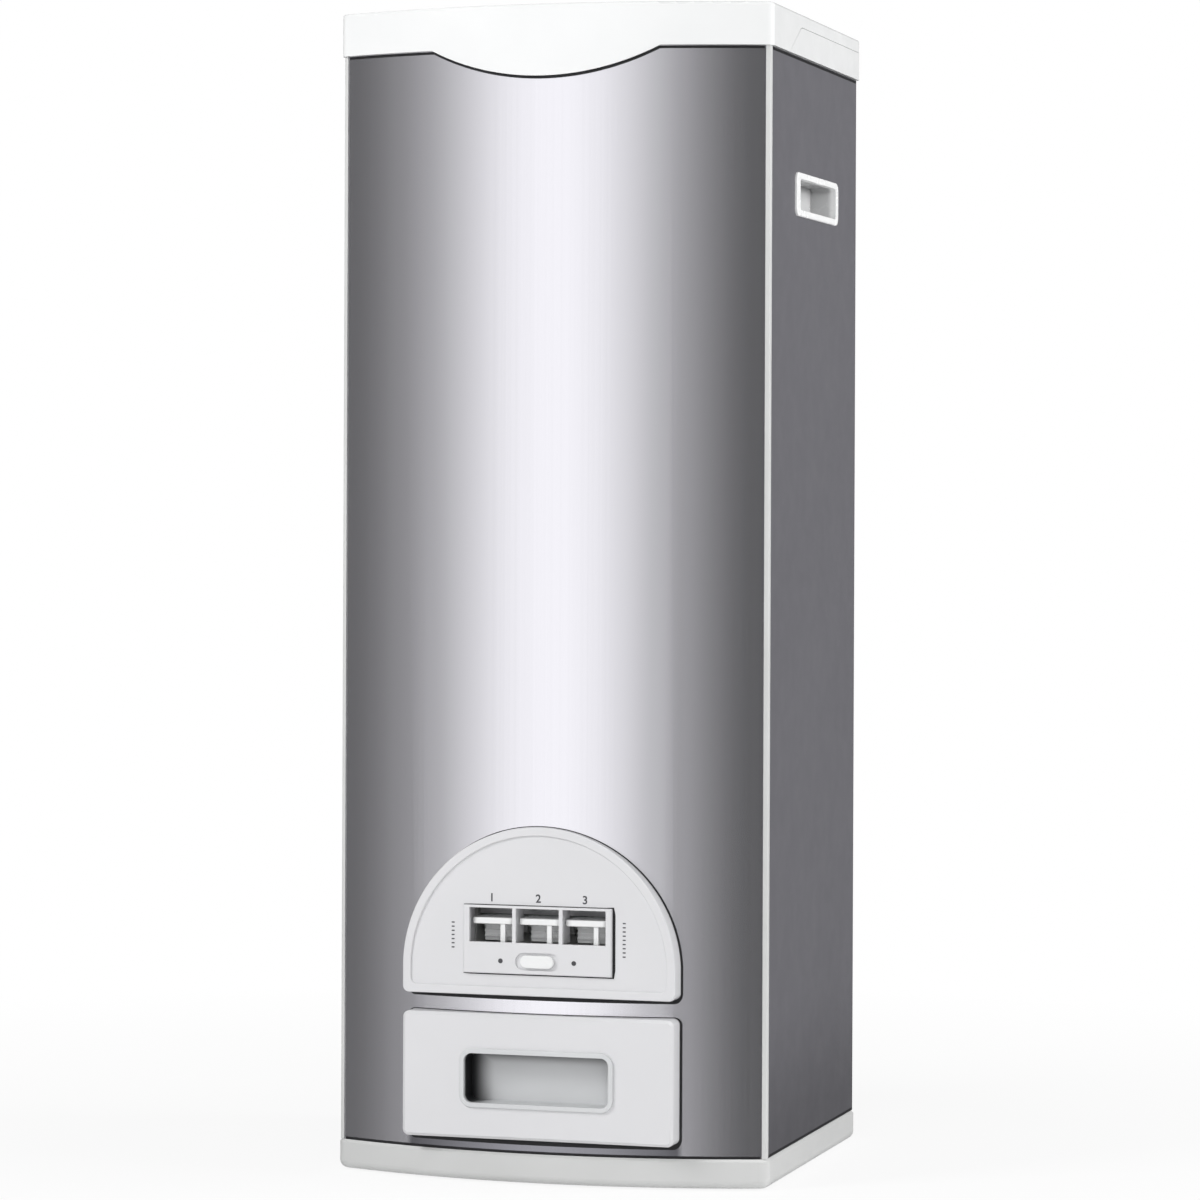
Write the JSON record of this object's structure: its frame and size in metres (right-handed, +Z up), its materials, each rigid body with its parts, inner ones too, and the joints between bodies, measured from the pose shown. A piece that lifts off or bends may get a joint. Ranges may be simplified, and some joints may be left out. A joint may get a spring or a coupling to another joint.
{
  "type": "rice dispenser",
  "caption": "Tall bowed steel-fronted rice bin with hinged lid, push levers that meter rice through sliding gates, a lock switch and a pull-out drawer.",
  "frame": {"origin": "middle of the foot of the bounding box, on the floor under the dispenser", "axes": "+Z up along the height, the bowed front with the drawer faces -Y, +X to the right seen from the front"},
  "size_m": [0.2848, 0.2685, 0.738],
  "materials": {
    "white_plastic": "gloss white moulded plastic",
    "silver_plastic": "fine silver-white satin plastic",
    "grip_plastic": "satin grey plastic with a bright rim",
    "inner_plastic": "natural white food-grade plastic",
    "brushed_front": "brushed steel, grain upright",
    "grey_sheet": "satin dark grey painted sheet",
    "bright_steel": "bright zinc-plated steel",
    "rubber": "black rubber",
    "gasket": "soft grey seal"
  },
  "bodies": {
    "cabinet": {"base_plinth": "white_plastic", "rubber_feet": "rubber", "left_side_panel": "grey_sheet", "right_side_panel": "grey_sheet", "back_panel": "grey_sheet", "back_screws": "bright_steel", "front_panel": "brushed_front", "left_corner_trim": "white_plastic", "right_corner_trim": "white_plastic", "top_collar": "white_plastic", "lid_gasket": "gasket", "hinge_pins": "bright_steel", "left_handle_cup": "white_plastic", "right_handle_cup": "white_plastic", "left_runner": "inner_plastic", "right_runner": "inner_plastic", "control_bezel": "silver_plastic", "window_insert": "silver_plastic", "lever_shaft": "bright_steel", "return_spring_1": "bright_steel", "return_spring_2": "bright_steel", "return_spring_3": "bright_steel", "metering_housing": "inner_plastic", "chute": "inner_plastic", "deck_plate": "grey_sheet", "hopper": "inner_plastic", "hopper_rails": "bright_steel"},
    "lid": {"lid": "white_plastic"},
    "drawer": {"drawer_front": "silver_plastic", "grip_cup": "grip_plastic", "drawer_box": "inner_plastic"},
    "lock": {"slide_knob": "white_plastic", "lock_bar": "inner_plastic"},
    "lever_1": {"lever_1": "white_plastic"},
    "gate_1": {"gate_1": "inner_plastic"},
    "lever_2": {"lever_2": "white_plastic"},
    "gate_2": {"gate_2": "inner_plastic"},
    "lever_3": {"lever_3": "white_plastic"},
    "gate_3": {"gate_3": "inner_plastic"}
  },
  "joints": [
    {"name": "lid_hinge", "type": "hinge", "parent": "cabinet", "child": "lid", "pos_m": [0, 0.13025, 0.7293], "axis": [-1, 0, 0], "range_deg": [0, 100]},
    {"name": "drawer_slide", "type": "slide", "parent": "cabinet", "child": "drawer", "axis": [0, -1, 0], "range_m": [0, 0.15]},
    {"name": "lock_slide", "type": "slide", "parent": "cabinet", "child": "lock", "axis": [1, 0, 0], "range_m": [-0.003, 0.003]},
    {"name": "lever_1_press", "type": "hinge", "parent": "cabinet", "child": "lever_1", "pos_m": [-0.0305, -0.09315, 0.16], "axis": [1, 0, 0], "range_deg": [0, 18], "stiffness_Nm_per_rad": 0.3, "springref_deg": -11.46, "deforming": ["return_spring_1"]},
    {"name": "gate_1_slide", "type": "slide", "parent": "cabinet", "child": "gate_1", "axis": [0, 1, 0], "range_m": [0, 0.013]},
    {"name": "lever_2_press", "type": "hinge", "parent": "cabinet", "child": "lever_2", "pos_m": [0, -0.09315, 0.16], "axis": [1, 0, 0], "range_deg": [0, 18], "stiffness_Nm_per_rad": 0.3, "springref_deg": -11.46, "deforming": ["return_spring_2"]},
    {"name": "gate_2_slide", "type": "slide", "parent": "cabinet", "child": "gate_2", "axis": [0, 1, 0], "range_m": [0, 0.013]},
    {"name": "lever_3_press", "type": "hinge", "parent": "cabinet", "child": "lever_3", "pos_m": [0.0305, -0.09315, 0.16], "axis": [1, 0, 0], "range_deg": [0, 18], "stiffness_Nm_per_rad": 0.3, "springref_deg": -11.46, "deforming": ["return_spring_3"]},
    {"name": "gate_3_slide", "type": "slide", "parent": "cabinet", "child": "gate_3", "axis": [0, 1, 0], "range_m": [0, 0.013]}
  ],
  "couplings": [
    {"joint": "gate_1_slide", "follows": "lever_1_press", "m_per_rad": 0.041341},
    {"joint": "gate_2_slide", "follows": "lever_2_press", "m_per_rad": 0.041341},
    {"joint": "gate_3_slide", "follows": "lever_3_press", "m_per_rad": 0.041341}
  ]
}
